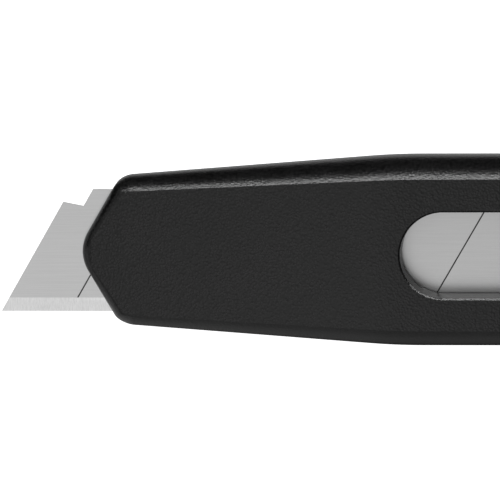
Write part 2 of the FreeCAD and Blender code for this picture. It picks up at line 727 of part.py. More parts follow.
# ---------------------------------------------------------------- end cap
def make_end_cap():
    """Pull-off tail with a spigot in the magazine, a snapping slit and a lanyard hole."""
    cap = body("end_cap")
    crease = half_high - dim.side_band
    radius = side_radius(dim.side_band, half_thick)
    section = sketch_on(cap, "section", "YZ_Plane", shell_end + 0.05)
    closed_outline(section, [(-crease, -half_thick), (crease, -half_thick), (crease, half_thick),
                             (-crease, half_thick)], {1: (radius, 1), 3: (radius, 1)})
    pad(cap, "block", section, dim.cap_long - 0.05)
    end, aside = dim.handle_long, as_size(20.0)
    waste = sketch_on(cap, "tail_waste", "XY_Plane", -half_thick - 1.0)
    closed_outline(waste, [
        (end - 9.0, half_high + 0.05), (end, half_high + 0.05, 6.5), (end, -half_high - 0.05, 6.5),
        (end - 9.0, -half_high - 0.05), (end - 9.0, -aside), (end + 5.0, -aside), (end + 5.0, aside),
        (end - 9.0, aside),
    ])
    pocket(cap, "tail_round", waste, dim.body_thick + 2.0)
    plate(cap, "spigot", shell_end - 8.0, shell_end + 0.5, -magazine_half + 0.2, magazine_half - 0.2,
          rear_floor + 0.2, -dim.tray_thick - 0.2)
    slit = rectangle(sketch_on(cap, "slit_section", "YZ_Plane", end + 1.0), *slit_span(), -0.75, 0.75)
    pocket(cap, "slit", slit, 9.0, False)
    bore = dim.lanyard_hole / 2
    drill(cap, "eyelet_bore", [lanyard_place()], bore + 0.52, -half_thick - 1.0, half_thick + 1.0)
    drill(cap, "eyelet_seat_front", [lanyard_place()], bore + 1.35, half_thick - 0.5, half_thick + 1.0)
    drill(cap, "eyelet_seat_rear", [lanyard_place()], bore + 1.35, -half_thick - 1.0, -half_thick + 0.5)
    return cap


def lanyard_place():
    return dim.handle_long - 7.2, as_size(-6.6)


def slit_span():
    return as_size(-1.0), as_size(11.2)


def make_snapper_plate():
    """Folded steel lining of the slit that a blade segment is snapped off in."""
    lining = body("snapper_plate")
    low, high = slit_span()
    end = dim.handle_long
    outer = rectangle(sketch_on(lining, "outer_section", "YZ_Plane", end - 0.1), low + 0.02, high - 0.02,
                      -0.73, 0.73)
    pad(lining, "outer", outer, 7.8, False)
    inner = rectangle(sketch_on(lining, "inner_section", "YZ_Plane", end), low - 1.0, high + 1.0,
                      -0.45, 0.45)
    pocket(lining, "inner", inner, 7.6, False)
    return lining


def make_lanyard_eyelet():
    """Flush tubular eyelet through the cap."""
    eyelet = body("lanyard_eyelet")
    x, y = lanyard_place()
    bore = dim.lanyard_hole / 2
    tube = circles(sketch_on(eyelet, "tube_plan", "XY_Plane", -half_thick), (x, y, bore + 0.5))
    pad(eyelet, "tube", tube, dim.body_thick)
    for name, low in (("rear_flange", -half_thick), ("front_flange", half_thick - 0.48)):
        flange = circles(sketch_on(eyelet, f"{name}_plan", "XY_Plane", low), (x, y, bore + 1.3))
        pad(eyelet, name, flange, 0.48)
    drill(eyelet, "bore", [(x, y)], bore, -half_thick - 1.0, half_thick + 1.0)
    return eyelet


# ---------------------------------------------------------------- the knife
def make_knife():
    return [
        make_front_shell(),
        make_rear_shell(),
        make_shell_screws(),
        make_blade_channel(),
        make_magazine_tray(),
        make_magazine_spring(),
        make_blade("spare_blade_lower", dim.magazine_front + 1.2, rear_floor + 0.02),
        make_blade("spare_blade_upper", dim.magazine_front + 1.2, rear_floor + dim.blade_thick + 0.06),
        make_blade("snap_off_blade", tip_at, blade_floor),
        make_blade_carrier(),
        make_blade_peg(),
        make_thumb_slide(),
        make_grip_pad("front_grip_pad", -1),
        make_grip_pad("rear_grip_pad", 1),
        make_slide_screws(),
        make_spring_washer(),
        make_lock_wheel(),
        make_wheel_nut(),
        make_wheel_cap(),
        make_lock_stud(),
        make_clamp_plate(),
        make_end_cap(),
        make_snapper_plate(),
        make_lanyard_eyelet(),
    ]


def check_document(pieces):
    for item in doc.Objects:
        for state in ("Invalid", "Error"):
            if state in item.State:
                raise RuntimeError(f"{item.Name}: {item.State}")
        if item.TypeId == "PartDesign::Pocket" and item.BaseFeature is not None:
            if item.Shape.Volume >= item.BaseFeature.Shape.Volume - 1e-6:
                raise RuntimeError(f"{item.Name} cuts nothing")
    for piece in pieces:
        if piece.Shape.isNull() or not piece.Shape.isValid():
            raise RuntimeError(f"{piece.Label}: its shape is null or not valid")


def main():
    pieces = make_knife()
    doc.recompute()
    check_document(pieces)
    os.makedirs("parts", exist_ok=True)
    for piece in pieces:
        box = piece.Shape.BoundBox
        print(f"{piece.Label}: {len(piece.Shape.Solids)} solid(s), {piece.Shape.Volume:.1f} mm3, "
              f"X {box.XMin:.2f}..{box.XMax:.2f}, Y {box.YMin:.2f}..{box.YMax:.2f}, "
              f"Z {box.ZMin:.2f}..{box.ZMax:.2f}")
        piece.Shape.exportStep(f"parts/{piece.Label}.step")


main()
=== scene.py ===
import math

import bmesh
import bpy
from bpy.props import FloatProperty, FloatVectorProperty, PointerProperty
from mathutils import Matrix, Vector


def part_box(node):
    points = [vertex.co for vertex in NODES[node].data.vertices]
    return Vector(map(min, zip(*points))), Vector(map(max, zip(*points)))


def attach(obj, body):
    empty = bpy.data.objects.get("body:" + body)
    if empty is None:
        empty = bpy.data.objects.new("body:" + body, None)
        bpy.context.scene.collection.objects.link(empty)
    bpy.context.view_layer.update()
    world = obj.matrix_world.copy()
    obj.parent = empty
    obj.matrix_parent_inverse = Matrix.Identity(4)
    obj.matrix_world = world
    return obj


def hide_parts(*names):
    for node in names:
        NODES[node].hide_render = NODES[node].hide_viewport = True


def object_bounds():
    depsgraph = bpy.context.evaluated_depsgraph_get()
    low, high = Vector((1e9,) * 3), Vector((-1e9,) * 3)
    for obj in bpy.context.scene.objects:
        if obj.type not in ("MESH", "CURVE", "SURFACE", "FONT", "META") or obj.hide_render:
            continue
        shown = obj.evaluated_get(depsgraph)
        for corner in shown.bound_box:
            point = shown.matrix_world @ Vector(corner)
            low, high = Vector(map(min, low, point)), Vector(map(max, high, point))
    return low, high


bl_info = {
    "name": "Snap-off Cutter",
    "version": (1, 0, 0),
    "blender": (4, 5, 0),
    "location": "View3D > Sidebar > Cutter",
    "description": "Models and finishes a snap-off cutter round its engineering frame",
    "category": "Object",
}

MM = 0.001

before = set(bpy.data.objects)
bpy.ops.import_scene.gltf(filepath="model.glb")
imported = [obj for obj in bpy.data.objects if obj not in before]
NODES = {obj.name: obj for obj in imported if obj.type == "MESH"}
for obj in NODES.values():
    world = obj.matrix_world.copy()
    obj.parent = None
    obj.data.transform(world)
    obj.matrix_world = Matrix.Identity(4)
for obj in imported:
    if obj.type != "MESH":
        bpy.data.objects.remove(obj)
CAD_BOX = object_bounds()

# ---------------------------------------------------------------- places read from the frame
SHELL_LOW, SHELL_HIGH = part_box("front_shell")
REAR_LOW, REAR_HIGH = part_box("rear_shell")
BLADE_LOW, BLADE_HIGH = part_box("snap_off_blade")
CHANNEL_LOW, CHANNEL_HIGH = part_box("blade_channel")
CAP_LOW, CAP_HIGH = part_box("end_cap")
SADDLE_LOW, SADDLE_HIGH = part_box("thumb_slide")
WHEEL_LOW, WHEEL_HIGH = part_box("lock_wheel")
WASHER_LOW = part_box("spring_washer")[0]
TRAY_LOW, TRAY_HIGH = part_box("magazine_tray")
EYELET_LOW, EYELET_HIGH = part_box("lanyard_eyelet")
SNAPPER_LOW, SNAPPER_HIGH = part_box("snapper_plate")

NOSE_X = SHELL_LOW.x                  # foremost point of the nose
PARTING_Z = SHELL_LOW.z               # plane where the two shells meet
HALF_THICK = SHELL_HIGH.z - PARTING_Z
HALF_HIGH = SHELL_HIGH.y
WHEEL_X = (WHEEL_LOW.x + WHEEL_HIGH.x) / 2
EYELET_X = (EYELET_LOW.x + EYELET_HIGH.x) / 2
EYELET_Y = (EYELET_LOW.y + EYELET_HIGH.y) / 2

# ---------------------------------------------------------------- sizes that the frame doesn't give
GROUND_EDGE = 2.04 * MM               # width of the blade's ground edge
SCORE_FIRST = 10.1 * MM               # from the blade's tip to its first score line, along the edge
SCORE_PITCH = 10.42 * MM              # from one score line to the next, along the edge
SCORE_LEAN = math.radians(60.0)       # between a score line and the edge
SCREW_HEAD = 1.75 * MM                # radius of a shell screw's head
SCREW_SEAT = 1.9 * MM                 # radius of its seat in the rear shell
SCREW_BORE = 1.1 * MM                 # radius of its bore
SCREW_DEPTH = 3.2 * MM                # from the parting plane to the seat
NOSE_FLANK = math.radians(60.0)       # lean of the nose's flanks
SILHOUETTE_BLEND = 3.8 * MM           # half length of the bend at the taper's end
FACE_BLEND = 2.5 * MM                 # half length of the face's bend, and how far ahead it lies
NOSE_WALL = 1.9 * MM                  # upright stretch over the parting plane, at the nose's flanks
SIDE_WALL = 0.25 * MM                 # the same along the sides
SLOT_FRONT = 46.66                    # the slot's front end at the blade, in millimetres from the nose
SLOT_BACK = 139.5                     # its rear end
SLOT_HALF = 6.2 * MM                  # half width of the slot at the blade
SLOT_FRONT_LEAN = 0.3 * MM            # how much more its front end leans out than its walls


def along(millimetres):
    """Place along the handle, measured from the nose towards the tail."""
    return NOSE_X + millimetres * MM


# ---------------------------------------------------------------- what a user would change
class CutterForm(bpy.types.PropertyGroup):
    """Sizes of the handle's visible form."""

    shoulder_at: FloatProperty(name="Shoulder", description="From the nose to its shoulders",
                               default=5.5 * MM, unit="LENGTH", precision=5)
    shoulder_half: FloatProperty(name="Shoulder half height", description="Half height at the shoulders",
                                 default=10.93 * MM, unit="LENGTH", precision=5)
    shoulder_round: FloatProperty(name="Shoulder rounding", description="Radius of the shoulders in plan",
                                  default=3.5 * MM, unit="LENGTH", precision=5)
    apex_round: FloatProperty(name="Apex rounding", description="Radius of the nose's point in plan",
                              default=5.6 * MM, unit="LENGTH", precision=5)
    taper_end: FloatProperty(name="Taper end", description="From the nose to where the grip is parallel",
                             default=45.8 * MM, unit="LENGTH", precision=5)
    nose_half_thick: FloatProperty(name="Nose half thickness", description="Half thickness at the nose",
                                   default=4.0 * MM, unit="LENGTH", precision=5)
    side_band: FloatProperty(name="Side band", description="Width of the rounded side seen from the face",
                             default=2.95 * MM, unit="LENGTH", precision=5)
    nose_side_band: FloatProperty(name="Nose side band", description="Width of the rounded side at the nose",
                                  default=1.75 * MM, unit="LENGTH", precision=5)
    nose_band: FloatProperty(name="Nose band", description="Width of the slope round the nose's flanks",
                             default=1.05 * MM, unit="LENGTH", precision=5)
    slot_draft: FloatProperty(name="Slot draft", description="How far each slot wall leans out",
                              default=0.28 * MM, unit="LENGTH", precision=5)
    slot_chamfer: FloatProperty(name="Slot chamfer", description="Chamfer round the slot's rim",
                                default=0.22 * MM, unit="LENGTH", precision=5)
    edge_round: FloatProperty(name="Edge rounding", description="Rounding of the mouldings' edges",
                              default=0.1 * MM, unit="LENGTH", precision=5)


class CutterFinish(bpy.types.PropertyGroup):
    """Colours and scales of the finishes."""

    moulding: FloatVectorProperty(name="Moulding", description="Colour of the black mouldings", size=3,
                                  subtype="COLOR", default=(0.008, 0.008, 0.008))
    steel: FloatVectorProperty(name="Steel", description="Colour of the blade", size=3, subtype="COLOR",
                               default=(0.61, 0.61, 0.61))
    rubber: FloatVectorProperty(name="Rubber", description="Colour of the grip pads", size=3,
                                subtype="COLOR", default=(0.018, 0.018, 0.018))
    grain: FloatProperty(name="Grain", description="Size of one pebble of the mouldings' grain",
                         default=0.34 * MM, unit="LENGTH", precision=5)
    grain_depth: FloatProperty(name="Grain depth", description="Height of the grain's pebbles",
                               default=0.024 * MM, unit="LENGTH", precision=6)


def form():
    return bpy.context.scene.cutter_form


def finish():
    return bpy.context.scene.cutter_finish


# ---------------------------------------------------------------- shaders
class Reading:
    """A node socket's value; arithmetic on it adds Math nodes."""

    def __init__(self, graph, socket):
        self.graph = graph
        self.socket = socket

    def _math(self, operation, *values):
        return self.graph.node("ShaderNodeMath", {"operation": operation}, dict(enumerate(values)))

    def __add__(self, other):
        return self._math("ADD", self, other)

    __radd__ = __add__

    def __sub__(self, other):
        return self._math("SUBTRACT", self, other)

    def __rsub__(self, other):
        return self._math("SUBTRACT", other, self)

    def __mul__(self, other):
        return self._math("MULTIPLY", self, other)

    __rmul__ = __mul__

    def __truediv__(self, other):
        return self._math("DIVIDE", self, other)

    def below(self, level):
        return self._math("LESS_THAN", self, level)

    def fraction(self):
        return self._math("FRACT", self)

    def size(self):
        return self._math("ABSOLUTE", self)

    def ramp(self, low, high, low_to=0.0, high_to=1.0):
        """Smooth step of the value from low to high."""
        return self.graph.node("ShaderNodeMapRange", {"interpolation_type": "SMOOTHSTEP"},
                               {0: self, 1: low, 2: high, 3: low_to, 4: high_to})

    def part(self, index):
        """One of a vector's three numbers."""
        return self.graph.node("ShaderNodeSeparateXYZ", {}, {0: self}, index)


class Graph:
    """A node tree and the one way that nodes are added to it."""

    def __init__(self, tree):
        self.tree = tree

    def node(self, kind, settings, inputs, output=0):
        made = self.tree.nodes.new(kind)
        for name, value in settings.items():
            setattr(made, name, value)
        for socket, value in inputs.items():
            if isinstance(value, Reading):
                self.tree.links.new(value.socket, made.inputs[socket])
            else:
                made.inputs[socket].default_value = value
        return Reading(self, made.outputs[output])


class Shader(Graph):
    """One procedural material and what feeds its Principled shader."""

    def __init__(self, name, **constants):
        self.material = bpy.data.materials.new(name)
        self.material.use_nodes = True
        super().__init__(self.material.node_tree)
        self.surface = self.tree.nodes["Principled BSDF"]
        for socket, value in constants.items():
            self.surface.inputs[socket.replace("_", " ")].default_value = value
        self.place = self.node("ShaderNodeTexCoord", {}, {}, "Object")

    def feed(self, socket, value):
        self.tree.links.new(value.socket, self.surface.inputs[socket])

    def stretched(self, scale):
        """The place with each axis multiplied, for patterns longer one way."""
        return self.node("ShaderNodeMapping", {"vector_type": "POINT"},
                         {"Vector": self.place, "Scale": scale})

    def noise(self, size, detail=2.0, roughness=0.5, place=None):
        return self.node("ShaderNodeTexNoise", {}, {"Vector": place or self.place, "Scale": 1.0 / size,
                                                    "Detail": detail, "Roughness": roughness}, "Fac")

    def cells(self, size):
        return self.node("ShaderNodeTexVoronoi", {"feature": "F1"},
                         {"Vector": self.place, "Scale": 1.0 / size}, "Distance")

    def colour_mix(self, share, first, second):
        return self.node("ShaderNodeMix", {"data_type": "RGBA"}, {0: share, 6: first, 7: second}, 2)

    def bump(self, height, depth):
        return self.node("ShaderNodeBump", {}, {"Height": height, "Distance": depth, "Strength": 1.0},
                         "Normal")


def rgba(colour, gain=1.0):
    return (*[channel * gain for channel in colour], 1.0)


def moulding_finish():
    """Black nylon with a fine pebbled grain."""
    shader = Shader("moulding_grain", Specular_IOR_Level=0.36)
    sizes = finish()
    pebbles = shader.cells(sizes.grain)
    fine = shader.noise(sizes.grain * 0.45, 3.0, 0.6)
    cloud = shader.noise(9.0 * MM, 2.0, 0.5)
    height = pebbles * -1.0 + fine * 0.3
    speckle = (1.0 - pebbles) * 0.5 + fine * 0.9 + cloud * 0.2
    shader.feed("Base Color", shader.colour_mix(speckle.ramp(0.62, 1.25), rgba(sizes.moulding, 0.15),
                                                rgba(sizes.moulding, 2.2)))
    shader.feed("Roughness", 0.17 + 0.10 * fine + 0.04 * cloud)
    shader.feed("Normal", shader.bump(height, sizes.grain_depth))
    return shader.material


def slide_finish():
    """Smoother black nylon of the slider and the wheel."""
    shader = Shader("slide_satin", Specular_IOR_Level=0.4)
    fine = shader.noise(0.25 * MM, 3.0, 0.6)
    cloud = shader.noise(4.0 * MM, 2.0, 0.5)
    colour = finish().moulding
    shader.feed("Base Color", shader.colour_mix(cloud.ramp(0.35, 0.7), rgba(colour, 1.2), rgba(colour, 1.6)))
    shader.feed("Roughness", 0.26 + 0.10 * fine + 0.06 * cloud)
    shader.feed("Normal", shader.bump(fine, 0.008 * MM))
    return shader.material


def blade_finish():
    """Steel strip brushed lengthways; the ground edge has fine marks across it and a painted highlight, a
    lighter colour than the flat, and the score lines are painted shade, dark and less metallic.
    """
    shader = Shader("blade_steel")
    sizes = finish()
    grind = shader.place.part(1).below(BLADE_LOW.y + GROUND_EDGE)
    brushed = shader.noise(0.16 * MM, 3.0, 0.6, shader.stretched((0.02, 1.0, 1.0)))
    ground = shader.noise(0.10 * MM, 3.0, 0.65, shader.stretched((1.0, 0.05, 1.0)))
    cloud = shader.noise(14.0 * MM, 2.0, 0.5)
    flat = shader.colour_mix(brushed.ramp(0.3, 0.7), rgba(sizes.steel, 0.965), rgba(sizes.steel, 1.035))
    # Painted highlight: the ground edge's colour is made lighter than the flat steel, standing in for its
    # brighter reflection; the fine marks across it are real.
    edge = shader.colour_mix(ground.ramp(0.3, 0.7), rgba(sizes.steel, 1.10), rgba(sizes.steel, 1.30))
    steel = shader.colour_mix(grind, flat, edge)
    x, y = shader.place.part(0), shader.place.part(1)
    run = (x - (BLADE_LOW.x + SCORE_FIRST) - (y - BLADE_LOW.y) / math.tan(SCORE_LEAN)) / SCORE_PITCH
    off_middle = (run.fraction() - 0.5).size() * SCORE_PITCH * math.sin(SCORE_LEAN)
    to_score = 0.5 * SCORE_PITCH * math.sin(SCORE_LEAN) - off_middle
    # Painted shade: the score lines are coloured dark, made less metallic and rougher, standing in for the
    # shade inside their grooves.
    score_line_shade = to_score.ramp(0.05 * MM, 0.13 * MM, 1.0, 0.0)
    score_line_shade = score_line_shade * (1.0 - grind)
    shader.feed("Base Color", shader.colour_mix(score_line_shade, steel, rgba((0.035, 0.035, 0.035))))
    shader.feed("Metallic", 1.0 - 0.6 * score_line_shade)
    shader.feed("Roughness", 0.24 + 0.08 * brushed + 0.05 * cloud + 0.2 * score_line_shade)
    marks = grind * ground + (1.0 - grind) * brushed
    shader.feed("Normal", shader.bump(marks, 0.0014 * MM))
    return shader.material


def plated_finish(name, colour, roughness):
    """Zinc-plated or rolled steel with faint cloudy marks."""
    shader = Shader(name, Metallic=1.0)
    cloud = shader.noise(1.6 * MM, 4.0, 0.6)
    drawn = shader.noise(0.12 * MM, 2.0, 0.5, shader.stretched((0.04, 1.0, 1.0)))
    shader.feed("Base Color", shader.colour_mix(cloud.ramp(0.3, 0.75), rgba(colour, 0.86),
                                                rgba(colour, 1.06)))
    shader.feed("Roughness", roughness + 0.12 * cloud + 0.06 * drawn)
    shader.feed("Normal", shader.bump(drawn, 0.0015 * MM))
    return shader.material


def rubber_finish():
    """Soft matt rubber with a dusty bloom."""
    shader = Shader("grip_rubber", Specular_IOR_Level=0.35)
    sizes = finish()
    bloom = shader.noise(1.2 * MM, 4.0, 0.65)
    fine = shader.noise(0.12 * MM, 2.0, 0.5)
    shader.feed("Base Color", shader.colour_mix(bloom.ramp(0.35, 0.75), rgba(sizes.rubber, 0.9),
                                                rgba(sizes.rubber, 1.35)))
    shader.feed("Roughness", 0.68 + 0.14 * bloom)
    shader.feed("Normal", shader.bump(fine, 0.006 * MM))
    return shader.material


def tray_finish():
    """Plain dark grey inner moulding."""
    shader = Shader("inner_moulding")
    cloud = shader.noise(3.0 * MM, 3.0, 0.5)
    shader.feed("Base Color", shader.colour_mix(cloud, rgba((0.15, 0.15, 0.155)), rgba((0.19, 0.19, 0.195))))
    shader.feed("Roughness", 0.5 + 0.1 * cloud)
    return shader.material


FINISHES = {}


def material(name):
    """Each finish is made once, when a piece first asks for it."""
    makers = {
        "moulding": moulding_finish,
        "blade": blade_finish,
        "channel": lambda: plated_finish("channel_steel", (0.50, 0.50, 0.50), 0.30),
        "zinc": lambda: plated_finish("zinc_steel", (0.56, 0.57, 0.58), 0.28),
        "brass": lambda: plated_finish("brass", (0.72, 0.53, 0.24), 0.25),
        "rubber": rubber_finish,
        "slide": slide_finish,
        "tray": tray_finish,
    }
    if name not in FINISHES:
        FINISHES[name] = makers[name]()
    return FINISHES[name]


# ---------------------------------------------------------------- mesh helpers
def to_mesh(bm, name):
    """Ends a bmesh: merged, with outward normals."""
    bmesh.ops.remove_doubles(bm, verts=bm.verts, dist=1e-7)
    bmesh.ops.recalc_face_normals(bm, faces=bm.faces)
    mesh = bpy.data.meshes.new(name)
    bm.to_mesh(mesh)
    bm.free()
    return mesh


def scratch_object(bm, name):
    made = bpy.data.objects.new(name, to_mesh(bm, name))
    bpy.context.scene.collection.objects.link(made)
    return made


def evaluated_mesh(obj):
    bpy.context.view_layer.update()
    graph = bpy.context.evaluated_depsgraph_get()
    return bpy.data.meshes.new_from_object(obj.evaluated_get(graph))


def carve(target, tool, operation="DIFFERENCE"):
    """Applies one exact boolean and throws the tool away."""
    modifier = target.modifiers.new("carve", "BOOLEAN")
    modifier.operation = operation
    modifier.solver = "EXACT"
    modifier.object = tool
    carved = evaluated_mesh(target)
    target.modifiers.clear()
    old, target.data = target.data, carved
    bpy.data.meshes.remove(old)
    tool_mesh = tool.data
    bpy.data.objects.remove(tool)
    bpy.data.meshes.remove(tool_mesh)


def prism(points, low, high):
    """Solid over a plan outline from height low to high."""
    bm = bmesh.new()
    bottom = [bm.verts.new((x, y, low)) for x, y in points]
    face = bm.faces.new(bottom)
    raised = bmesh.ops.extrude_face_region(bm, geom=[face])["geom"]
    top = [item for item in raised if isinstance(item, bmesh.types.BMVert)]
    bmesh.ops.translate(bm, verts=top, vec=(0.0, 0.0, high - low))
    return scratch_object(bm, "prism")


def skin(bm, loops):
    """Quads between each loop of vertices and the next one."""
    for first, second in zip(loops, loops[1:]):
        for i in range(len(first)):
            j = (i + 1) % len(first)
            bm.faces.new((first[i], first[j], second[j], second[i]))


def skinned_solid(bm, loops, name):
    """Object of a row of loops, closed by a face over each end."""
    skin(bm, loops)
    bm.faces.new(loops[0])
    bm.faces.new(loops[-1])
    return scratch_object(bm, name)


def lofted(rings, name):
    """Solid through plans of equally many points, each with its height, from bottom to top."""
    bm = bmesh.new()
    return skinned_solid(bm, [[bm.verts.new((x, y, height)) for x, y in plan] for plan, height in rings],
                         name)


def block(low, high):
    """Box between two corners."""
    bm = bmesh.new()
    bmesh.ops.create_cube(bm, size=1.0)
    low, high = Vector(low), Vector(high)
    bmesh.ops.scale(bm, verts=bm.verts, vec=high - low)
    bmesh.ops.translate(bm, verts=bm.verts, vec=(high + low) / 2)
    return scratch_object(bm, "block")


def drum(x, y, radius, low, high, segments=48):
    """Upright cylinder, turned so that flats face the axes."""
    bm = bmesh.new()
    bmesh.ops.create_cone(bm, cap_ends=True, segments=segments, radius1=radius, radius2=radius,
                          depth=high - low)
    bmesh.ops.rotate(bm, verts=bm.verts, matrix=Matrix.Rotation(math.pi / segments, 3, "Z"))
    bmesh.ops.translate(bm, verts=bm.verts, vec=(x, y, (low + high) / 2))
    return scratch_object(bm, "drum")


def rounded_plan(corners, step=math.radians(5)):
    """Points of a plan outline whose corners (x, y, radius) are rounded by arcs."""
    points = []
    for i, (x, y, radius) in enumerate(corners):
        here = Vector((x, y))
        if not radius:
            points.append((x, y))
            continue
        back = (Vector(corners[i - 1][:2]) - here).normalized()
        ahead = (Vector(corners[(i + 1) % len(corners)][:2]) - here).normalized()
        half = back.angle(ahead) / 2
        centre = here + (back + ahead).normalized() * (radius / math.sin(half))
        start = here + back * (radius / math.tan(half)) - centre
        sweep = start.angle_signed(here + ahead * (radius / math.tan(half)) - centre)
        count = max(2, math.ceil(abs(sweep) / step))
        for k in range(count + 1):
            turned = Matrix.Rotation(-sweep * k / count, 2) @ start
            points.append(tuple(centre + turned))
    return points


def stadium_plan(x_low, x_high, half, segments=48):
    """Outline with half-round ends, along X."""
    points = []
    for centre, turn in ((x_high - half, -0.5), (x_low + half, 0.5)):
        for k in range(segments + 1):
            angle = math.pi * (turn + k / segments)
            points.append((centre + half * math.cos(angle), half * math.sin(angle)))
    return points


def finish_piece(obj, name, body, finish_name, nodes=(), edge=None, sharp=32.0):
    """Names, shades, rounds and colours a piece and ties it to the frame."""
    obj.name = name
    obj.data.name = name
    obj.data.materials.clear()
    obj.data.materials.append(material(finish_name))
    obj.data.shade_smooth()
    if edge:
        bevel = obj.modifiers.new("edge_rounding", "BEVEL")
        bevel.width = edge
        bevel.segments = 3
        bevel.limit_method = "ANGLE"
        bevel.angle_limit = math.radians(sharp)
        bevel.miter_outer = "MITER_ARC"
        bevel.use_clamp_overlap = True
        weigh = obj.modifiers.new("flat_normals", "WEIGHTED_NORMAL")
        weigh.keep_sharp = True
        weigh.weight = 80
    else:
        obj.data.set_sharp_from_angle(angle=math.radians(sharp))
    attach(obj, body)
    if nodes:
        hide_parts(*nodes)
    return obj


def dress_node(node, finish_name):
    """A frame node that is kept gets a finish of its own."""
    obj = NODES[node]
    obj.data.materials.clear()
    obj.data.materials.append(material(finish_name))


# ---------------------------------------------------------------- the handle's form
def outline_half(x):
    """Half height of the silhouette, x measured from the nose; the taper's end is blended."""
    sizes = form()
    slope = (HALF_HIGH - sizes.shoulder_half) / (sizes.taper_end - sizes.shoulder_at)
    sloping = sizes.shoulder_half + (x - sizes.shoulder_at) * slope
    return blended(x - sizes.taper_end, sloping, HALF_HIGH, slope, SILHOUETTE_BLEND)


def face_level(x):
    """Height of the face over the parting plane; it is flat from just ahead of the slot."""
    sizes = form()
    flat_from = sizes.taper_end - FACE_BLEND
    slope = (HALF_THICK - sizes.nose_half_thick) / flat_from
    return blended(x - flat_from, sizes.nose_half_thick + x * slope, HALF_THICK, slope, FACE_BLEND)


def band_wide(x):
    """Width of the rounded side, seen from the face."""
    sizes = form()
    slope = (sizes.side_band - sizes.nose_side_band) / sizes.taper_end
    return blended(x - sizes.taper_end, sizes.nose_side_band + x * slope, sizes.side_band, slope,
                   SILHOUETTE_BLEND)


def blended(past, sloping, parallel, slope, half_blend):
    """The sloping stretch runs into the parallel one over a parabola; past is from their corner."""
    if past <= -half_blend:
        return sloping
    if past >= half_blend:
        return parallel
    return parallel - slope * (half_blend - past) ** 2 / (4 * half_blend)


def smooth(value, low, high):
    """Smooth step from 0 at low to 1 at high."""
    share = min(1.0, max(0.0, (value - low) / (high - low)))
    return share * share * (3.0 - 2.0 * share)


def nose_outline(x_end):
    """Plan points of the upper half: apex, flank, shoulder, taper, parallel grip.

    The stations along the side are millimetres from the nose. They are close together only where the
    taper bends into the grip, and the last ones are clear of the slot's front end.
    """
    sizes = form()
    apex = -sizes.apex_round * (1.0 / math.sin(NOSE_FLANK) - 1.0)
    side_at = sizes.shoulder_at + 4.0 * MM
    corners = [(sizes.shoulder_at, -sizes.shoulder_half, 0), (apex, 0.0, sizes.apex_round),
               (sizes.shoulder_at, sizes.shoulder_half, sizes.shoulder_round),
               (side_at, outline_half(side_at), 0)]
    nose = [point for point in rounded_plan(corners, math.radians(4)) if point[1] > 1e-6]
    stations = [12.0, 18.0, 24.0, 30.0, 36.0, *[40.8 + 1.25 * k for k in range(4)], 45.3, 45.75,
                46.6, 47.6, 48.6, 49.7]
    side = [(x * MM, outline_half(x * MM)) for x in stations]
    return [(0.0, 0.0), *nose, *side, (x_end, HALF_HIGH)]


def outward_normals(points, first, last):
    """Plan normal at each point; the ends' are given."""
    normals = [Vector(first)]
    for before, after in zip(points, points[2:]):
        run = Vector(after) - Vector(before)
        normals.append(Vector((-run.y, run.x)).normalized())
    return normals + [Vector(last)]


def band_profile(band, level, wall, steps=12):
    """Insets and heights from the parting plane up a short wall and a rounded side to the face."""
    rise = level - wall
    radius = (band * band + rise * rise) / (2 * band)
    top = math.asin(min(1.0, rise / radius))
    turns = [top * k / steps for k in range(steps + 1)]
    return [(0.0, 0.0)] + [(radius * (1 - math.cos(turn)), wall + radius * math.sin(turn)) for turn in turns]


def banded_solid(points, normals, profiles, name):
    """Solid whose rings follow a half outline and its mirror image, drawn in ring by ring.

    Each point has a profile of (inset, height) pairs, all equally long; the outline starts on the
    centre line and ends at a flat end. The first and last rings are closed by faces across.
    """
    bm = bmesh.new()
    rings = []
    for k in range(len(profiles[0])):
        upper = []
        for point, normal, profile in zip(points, normals, profiles):
            inset, height = profile[k]
            upper.append((point[0] - normal.x * inset, point[1] - normal.y * inset, height))
        lower = [(x, -y, z) for x, y, z in upper[1:]]
        rings.append(([bm.verts.new(place) for place in upper], [bm.verts.new(place) for place in lower]))
    loops = [upper + lower[::-1] for upper, lower in rings]
    skin(bm, loops)
    for (upper, lower), loop in ((rings[0], loops[0]), (rings[-1], loops[-1])):
        heights = [vert.co.z for vert in upper]
        if max(heights) - min(heights) < 1e-8:
            bm.faces.new(loop)
            continue
        bm.faces.new((upper[0], upper[1], lower[0]))
        for i in range(1, len(upper) - 1):
            bm.faces.new((upper[i], upper[i + 1], lower[i], lower[i - 1]))
    bmesh.ops.dissolve_limit(bm, angle_limit=math.radians(0.01), verts=bm.verts[:], edges=bm.edges[:])
    return scratch_object(bm, name)


def shell_blank(up, x_end):
    """The shell's outer form as a closed solid: the band round its face widens from nose to grip."""
    sizes = form()
    points = nose_outline(x_end)
    normals = outward_normals(points, (-1.0, 0.0), (0.0, 1.0))
    profiles = []
    for (x, y), normal in zip(points, normals):
        share = smooth(normal.y, 0.5, 0.995)
        flank_band = sizes.nose_band * (1.0 + 0.5 * smooth(y, 4.0 * MM, sizes.shoulder_half))
        band = flank_band + (band_wide(x) - flank_band) * share
        wall = NOSE_WALL + (SIDE_WALL - NOSE_WALL) * share
        profiles.append(band_profile(band, face_level(x - normal.x * band), wall))
    placed = [(NOSE_X + x, y) for x, y in points]
    heights = [[(inset, PARTING_Z + up * height) for inset, height in profile] for profile in profiles]
    return banded_solid(placed, normals, heights, "shell_blank")


